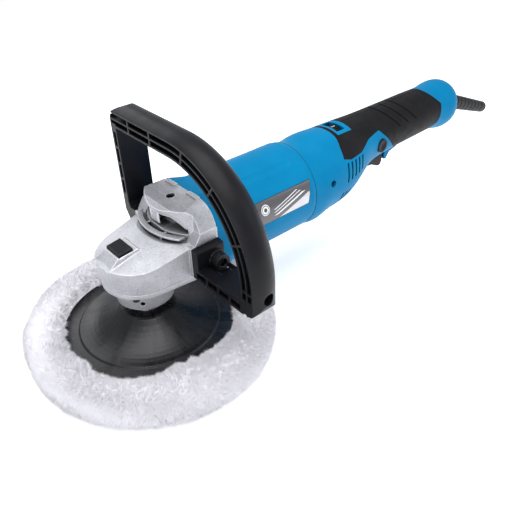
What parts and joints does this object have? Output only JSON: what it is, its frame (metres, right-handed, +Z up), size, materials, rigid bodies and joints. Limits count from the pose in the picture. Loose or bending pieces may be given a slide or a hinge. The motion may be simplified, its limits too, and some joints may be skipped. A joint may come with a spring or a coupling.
{
  "type": "rotary polisher",
  "caption": "Corded rotary polisher with right-angle bevel drive, looped front handle, rear trigger grip and wool bonnet on a rubber backing pad.",
  "frame": {"origin": "centre of the bonnet's flat working face, on the spindle axis", "axes": "+Z up the spindle, +X back along the motor towards the grip and cord boot, -Y towards the D-handle's low corner"},
  "size_m": [0.5804, 0.2115, 0.1862],
  "materials": {
    "cast_aluminium": "satin",
    "blue_plastic": "satin",
    "soft_grip": "matte",
    "black_nylon": "satin",
    "label_film": "gloss",
    "dark_steel": "satin",
    "bright_steel": "satin",
    "black_rubber": "matte",
    "iron_laminations": "matte",
    "copper_wire": "satin",
    "brass": "satin",
    "carbon": "matte",
    "wool": "matte",
    "cotton_cord": "matte"
  },
  "bodies": {
    "machine": {"gear_housing": "cast_aluminium", "gear_cover": "cast_aluminium", "gear_cover_screws": "dark_steel", "flange_screws": "dark_steel", "motor_housing": "blue_plastic", "side_labels": "label_film", "rear_shell_left": "blue_plastic", "rear_shell_right": "blue_plastic", "grip_cover_left": "soft_grip", "grip_cover_right": "soft_grip", "rear_shell_screws": "dark_steel", "d_handle": "black_nylon", "d_handle_bolts": "dark_steel", "d_handle_washers": "dark_steel", "cord_boot": "black_rubber", "cord_clamp_bar": "black_nylon", "cord_clamp_seat": "black_nylon", "cord_clamp_screws": "dark_steel", "stator_core": "iron_laminations", "field_coils": "copper_wire", "stator_screws": "dark_steel", "brush_yoke": "black_nylon", "brush_holders": "brass", "carbon_brushes": "carbon", "brush_springs": "bright_steel", "switch_body": "black_nylon", "speed_module": "black_nylon", "dial_pin": "bright_steel", "trigger_pin": "bright_steel", "trigger_spring": "bright_steel", "lock_spring": "bright_steel", "lock_on_spring": "bright_steel", "spindle_seal": "black_rubber", "spindle_top_bush": "brass", "spindle_bearing_outer": "bright_steel", "armature_front_bearing_outer": "bright_steel", "armature_rear_bearing_outer": "bright_steel"},
    "spindle": {"output_spindle": "bright_steel", "crown_gear": "bright_steel", "crown_gear_clip": "bright_steel", "spindle_bearing_inner": "bright_steel", "spindle_bearing_balls": "bright_steel", "pad_hub": "bright_steel", "backing_pad": "black_rubber", "wool_bonnet": "wool", "drawstring": "cotton_cord"},
    "armature": {"armature_shaft": "bright_steel", "bevel_pinion": "bright_steel", "rotor_core": "iron_laminations", "rotor_windings": "copper_wire", "commutator": "copper_wire", "cooling_fan": "black_nylon", "armature_front_bearing_inner": "bright_steel", "armature_bearing_balls": "bright_steel", "armature_rear_bearing_inner": "bright_steel"},
    "spindle_lock": {"lock_button": "black_nylon", "lock_pin": "bright_steel"},
    "trigger_lever": {"trigger": "black_nylon"},
    "lock_on": {"lock_on_button": "black_nylon"},
    "dial": {"speed_dial": "black_nylon"}
  },
  "joints": [
    {"name": "spindle_spin", "type": "hinge", "parent": "machine", "child": "spindle", "pos_m": [0, 0, 0], "axis": [0, 0, 1], "continuous": true},
    {"name": "armature_spin", "type": "hinge", "parent": "machine", "child": "armature", "pos_m": [0, 0, 0.0925], "axis": [1, 0, 0], "continuous": true},
    {"name": "spindle_lock_press", "type": "slide", "parent": "machine", "child": "spindle_lock", "axis": [0, 0, -1], "range_m": [0, 0.004], "stiffness_N_per_m": 600, "springref_m": -0.004, "deforming": ["lock_spring"]},
    {"name": "trigger_squeeze", "type": "hinge", "parent": "machine", "child": "trigger_lever", "pos_m": [0.251, 0, 0.086], "axis": [0, -1, 0], "range_deg": [0, 8], "stiffness_Nm_per_rad": 0.3, "springref_deg": -5.73, "deforming": ["trigger_spring"]},
    {"name": "lock_on_press", "type": "slide", "parent": "machine", "child": "lock_on", "axis": [0, 1, 0], "range_m": [0, 0.003], "stiffness_N_per_m": 300, "springref_m": -0.003, "deforming": ["lock_on_spring"]},
    {"name": "speed_dial_turn", "type": "hinge", "parent": "machine", "child": "dial", "pos_m": [0.211, 0, 0.1153], "axis": [1, 0, 0], "range_deg": [-135, 135]}
  ],
  "couplings": [
    {"joint": "armature_spin", "follows": "spindle_spin", "ratio": 3.5833}
  ]
}
